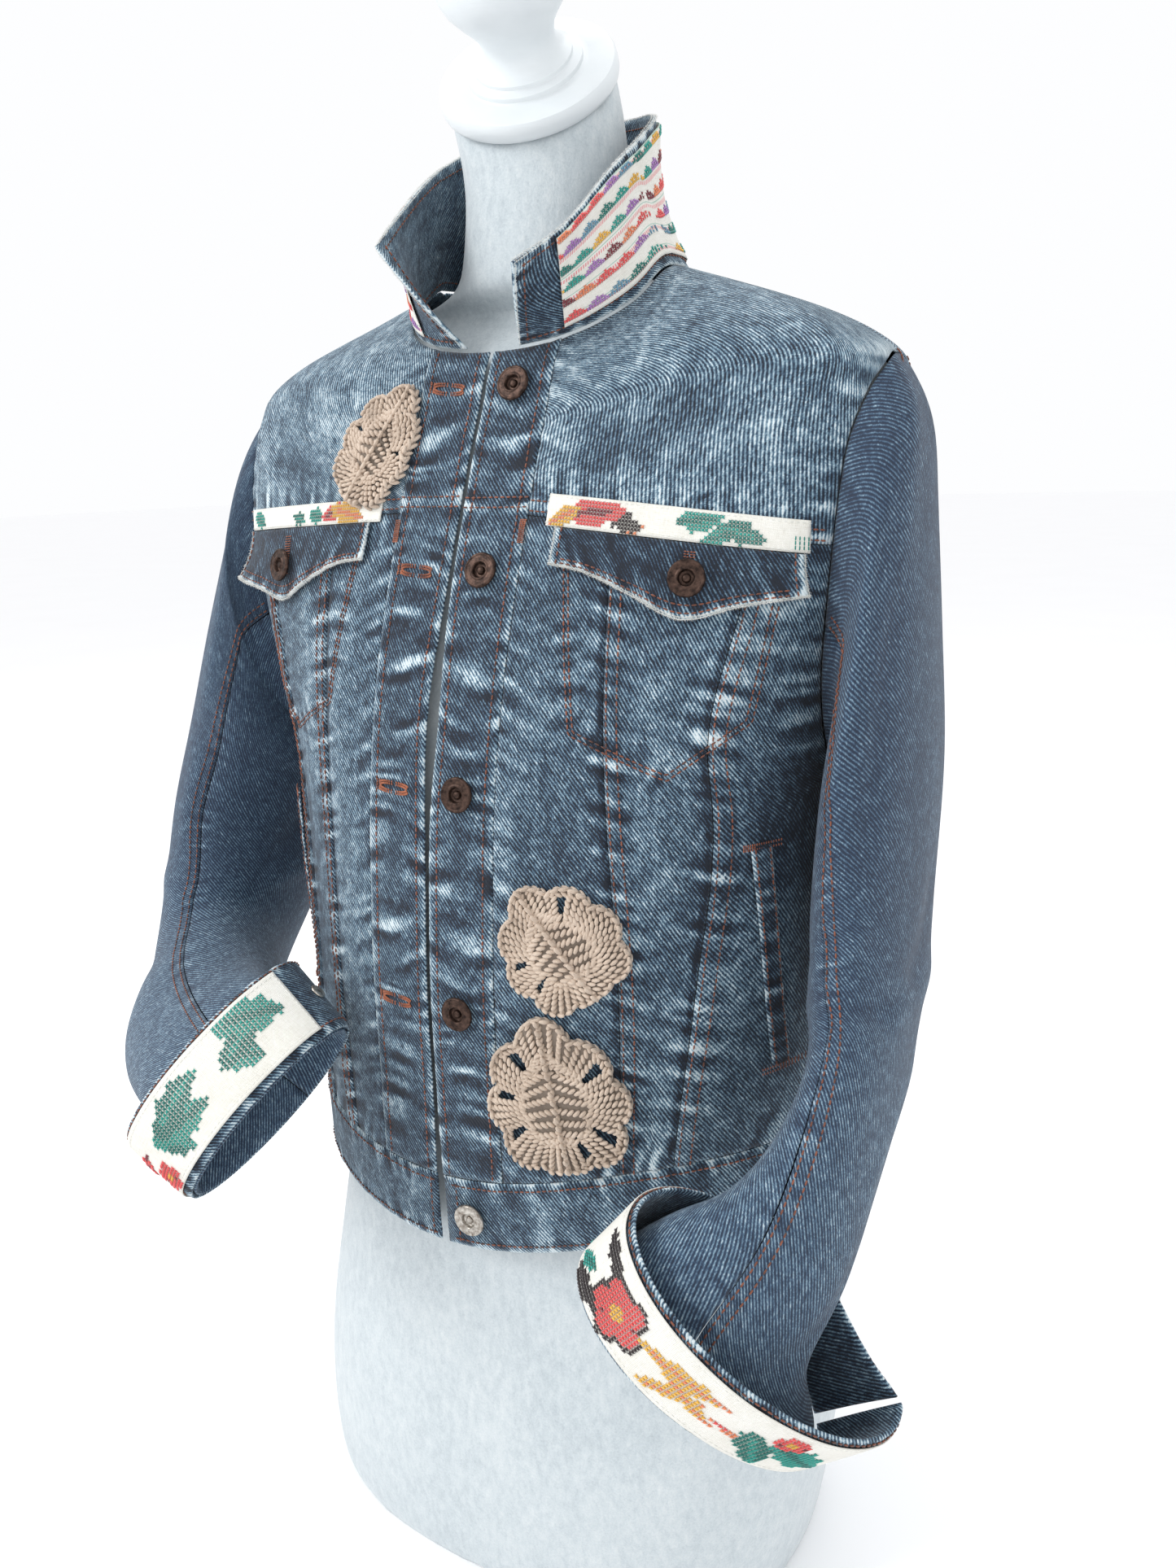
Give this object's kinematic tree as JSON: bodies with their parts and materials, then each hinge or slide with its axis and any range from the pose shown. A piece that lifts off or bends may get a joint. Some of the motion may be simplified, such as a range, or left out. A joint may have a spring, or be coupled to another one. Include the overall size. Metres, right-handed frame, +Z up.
{
  "type": "denim jacket on a dress form",
  "caption": "Cropped denim trucker jacket, buttoned front parted, collar up, cuffs turned back, crochet leaves and cross stitch patches, on a limbless dress form.",
  "frame": {"origin": "middle of the dress form's flat underside", "axes": "+Z up, the jacket's front faces -Y, +X to the wearer's left"},
  "size_m": [0.5065, 0.322, 0.8426],
  "materials": {
    "back_centre_panel": "stonewashed denim",
    "back_side_panel_left": "stonewashed denim",
    "back_side_panel_right": "stonewashed denim",
    "back_yoke": "stonewashed denim",
    "collar": "doubled denim",
    "collar_patch": "off-white cotton with small woven and stitched motifs",
    "cuff_left": "doubled denim",
    "cuff_patch_left": "off-white cotton with cross stitch",
    "cuff_patch_right": "off-white cotton with cross stitch",
    "cuff_right": "doubled denim",
    "cuff_rivet_left": "satin",
    "cuff_rivet_right": "satin",
    "dress_form": "white brushed plush over a padded torso",
    "embroidered_band_left": "off-white cotton with cross stitch",
    "embroidered_band_right": "off-white cotton with cross stitch",
    "flap_button_left": "antique copper",
    "flap_button_right": "antique copper",
    "front_button_1": "antique copper",
    "front_button_2": "antique copper",
    "front_button_3": "antique copper",
    "front_button_4": "antique copper",
    "front_centre_panel_left": "stonewashed denim",
    "front_centre_panel_right": "stonewashed denim",
    "front_middle_panel_left": "stonewashed denim",
    "front_middle_panel_right": "stonewashed denim",
    "front_side_panel_left": "stonewashed denim",
    "front_side_panel_right": "stonewashed denim",
    "front_yoke_left": "stonewashed denim",
    "front_yoke_right": "stonewashed denim",
    "leaf_chest": "crocheted cotton yarn",
    "leaf_lower": "crocheted cotton yarn",
    "leaf_upper": "crocheted cotton yarn",
    "neck_cap": "turned cap with white paint",
    "placket_left": "doubled stonewashed denim, puckered at its stitching",
    "placket_right": "doubled stonewashed denim, puckered at its stitching",
    "pocket_flap_left": "doubled stonewashed denim, puckered at its stitching",
    "pocket_flap_right": "doubled stonewashed denim, puckered at its stitching",
    "pocket_welt_left": "doubled stonewashed denim, puckered at its stitching",
    "pocket_welt_right": "doubled stonewashed denim, puckered at its stitching",
    "sleeve_under_left": "stonewashed denim, plainer",
    "sleeve_under_right": "stonewashed denim, plainer",
    "sleeve_upper_left": "stonewashed denim, plainer",
    "sleeve_upper_right": "stonewashed denim, plainer",
    "waistband": "doubled denim",
    "waistband_button": "antique nickel"
  },
  "bodies": {
    "root": {"back_centre_panel": "back_centre_panel", "back_side_panel_left": "back_side_panel_left", "back_side_panel_right": "back_side_panel_right", "back_yoke": "back_yoke", "collar": "collar", "collar_patch": "collar_patch", "cuff_left": "cuff_left", "cuff_patch_left": "cuff_patch_left", "cuff_patch_right": "cuff_patch_right", "cuff_right": "cuff_right", "cuff_rivet_left": "cuff_rivet_left", "cuff_rivet_right": "cuff_rivet_right", "dress_form": "dress_form", "embroidered_band_left": "embroidered_band_left", "embroidered_band_right": "embroidered_band_right", "flap_button_left": "flap_button_left", "flap_button_right": "flap_button_right", "front_button_1": "front_button_1", "front_button_2": "front_button_2", "front_button_3": "front_button_3", "front_button_4": "front_button_4", "front_centre_panel_left": "front_centre_panel_left", "front_centre_panel_right": "front_centre_panel_right", "front_middle_panel_left": "front_middle_panel_left", "front_middle_panel_right": "front_middle_panel_right", "front_side_panel_left": "front_side_panel_left", "front_side_panel_right": "front_side_panel_right", "front_yoke_left": "front_yoke_left", "front_yoke_right": "front_yoke_right", "leaf_chest": "leaf_chest", "leaf_lower": "leaf_lower", "leaf_upper": "leaf_upper", "neck_cap": "neck_cap", "placket_left": "placket_left", "placket_right": "placket_right", "pocket_flap_left": "pocket_flap_left", "pocket_flap_right": "pocket_flap_right", "pocket_welt_left": "pocket_welt_left", "pocket_welt_right": "pocket_welt_right", "sleeve_under_left": "sleeve_under_left", "sleeve_under_right": "sleeve_under_right", "sleeve_upper_left": "sleeve_upper_left", "sleeve_upper_right": "sleeve_upper_right", "waistband": "waistband", "waistband_button": "waistband_button"}
  },
  "joints": []
}
